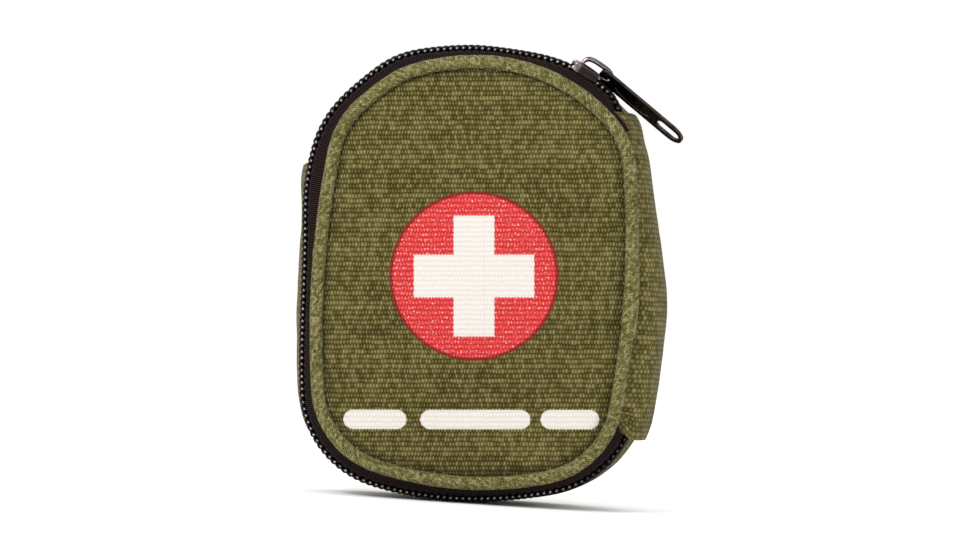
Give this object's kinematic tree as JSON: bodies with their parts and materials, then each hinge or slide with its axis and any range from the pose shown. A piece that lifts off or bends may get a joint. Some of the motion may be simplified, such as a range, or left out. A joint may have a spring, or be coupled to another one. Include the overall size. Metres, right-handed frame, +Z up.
{
  "type": "first aid pouch",
  "caption": "Upright canvas first aid pouch with a domed top, piped edges, a zip round the side, a side-hinged cover and dressings held inside.",
  "frame": {"origin": "middle of the flat patch of the bottom seam that the pouch stands on", "axes": "+Z up towards the domed top, -Y out of the printed front, +X to the right seen from the front, where the cover folds"},
  "size_m": [0.0971, 0.052, 0.1154],
  "materials": {
    "canvas": "coarse plain-weave canvas, matt",
    "piping": "bias-cut canvas over a cord, matt",
    "binding": "woven seam binding, matt",
    "lining": "fine nylon lining, slight sheen",
    "webbing": "ribbed webbing, matt",
    "zip_tape": "ribbed woven tape, matt",
    "zip_coil": "moulded nylon coil, glossy",
    "thread": "dense bar-tack stitching",
    "slider_metal": "dark enamelled zinc alloy, semi-gloss",
    "red_print": "screen print over the weave, satin",
    "white_print": "screen print over the weave, satin",
    "elastic": "ribbed woven elastic, matt",
    "gauze": "rolled open-weave cotton, matt",
    "tape_cloth": "rolled adhesive cloth tape, matt",
    "spool": "moulded plastic",
    "sachet_paper": "heat-sealed paper sachet, satin"
  },
  "bodies": {
    "tray": {"back_panel": "canvas", "side_band": "canvas", "fold_strip_rear": "canvas", "rear_piping": "piping", "rear_binding": "binding", "back_lining": "lining", "inner_pocket": "lining", "pocket_hem": "elastic", "elastic_band": "elastic", "belt_loop": "webbing", "belt_loop_tack_low": "thread", "belt_loop_tack_high": "thread", "zip_tape_rear": "zip_tape", "zip_coil_rear": "zip_coil", "gauze_pad_1": "sachet_paper", "antiseptic_wipe_1": "sachet_paper", "gauze_pad_2": "sachet_paper", "antiseptic_wipe_2": "sachet_paper", "gauze_pad_3": "sachet_paper", "antiseptic_wipe_3": "sachet_paper", "adhesive_plaster_1": "sachet_paper", "adhesive_plaster_2": "sachet_paper", "adhesive_plaster_3": "sachet_paper", "adhesive_plaster_4": "sachet_paper"},
    "cover": {"front_panel": "canvas", "front_piping": "piping", "front_binding": "binding", "front_lining": "lining", "zip_tape_front": "zip_tape", "zip_coil_front": "zip_coil", "fold_strip_front": "canvas", "printed_disc": "red_print", "printed_cross": "white_print", "printed_bar_1": "white_print", "printed_bar_2": "white_print", "printed_bar_3": "white_print"},
    "slider": {"slider_body": "slider_metal", "slider_bail": "slider_metal"},
    "pull_tab": {"pull_tab": "slider_metal"},
    "gauze_roll": {"gauze_roll": "gauze"},
    "crepe_bandage": {"crepe_bandage": "gauze"},
    "tape_rolls": {"tape_roll_1": "tape_cloth", "tape_core_1": "spool", "tape_roll_2": "tape_cloth", "tape_core_2": "spool"}
  },
  "joints": [
    {"name": "cover_hinge", "type": "hinge", "parent": "tray", "child": "cover", "pos_m": [0.048, -0.012, 0.057], "axis": [0, 0, 1], "range_deg": [0, 180]},
    {"name": "slider_run", "type": "hinge", "parent": "tray", "child": "slider", "pos_m": [0, -0.012, 0.0658], "axis": [0, -1, 0], "range_deg": [0, 66]},
    {"name": "pull_tab_pivot", "type": "hinge", "parent": "slider", "child": "pull_tab", "pos_m": [0.02929, -0.012, 0.1089], "axis": [0, -1, 0], "range_deg": [0, 120]},
    {"name": "gauze_roll_lift", "type": "slide", "parent": "tray", "child": "gauze_roll", "axis": [0, 0, 1], "range_m": [0, 0.03]},
    {"name": "crepe_bandage_lift", "type": "slide", "parent": "tray", "child": "crepe_bandage", "axis": [0, 0, 1], "range_m": [0, 0.03]},
    {"name": "tape_rolls_lift", "type": "slide", "parent": "tray", "child": "tape_rolls", "axis": [0, 0, 1], "range_m": [0, 0.03]}
  ]
}
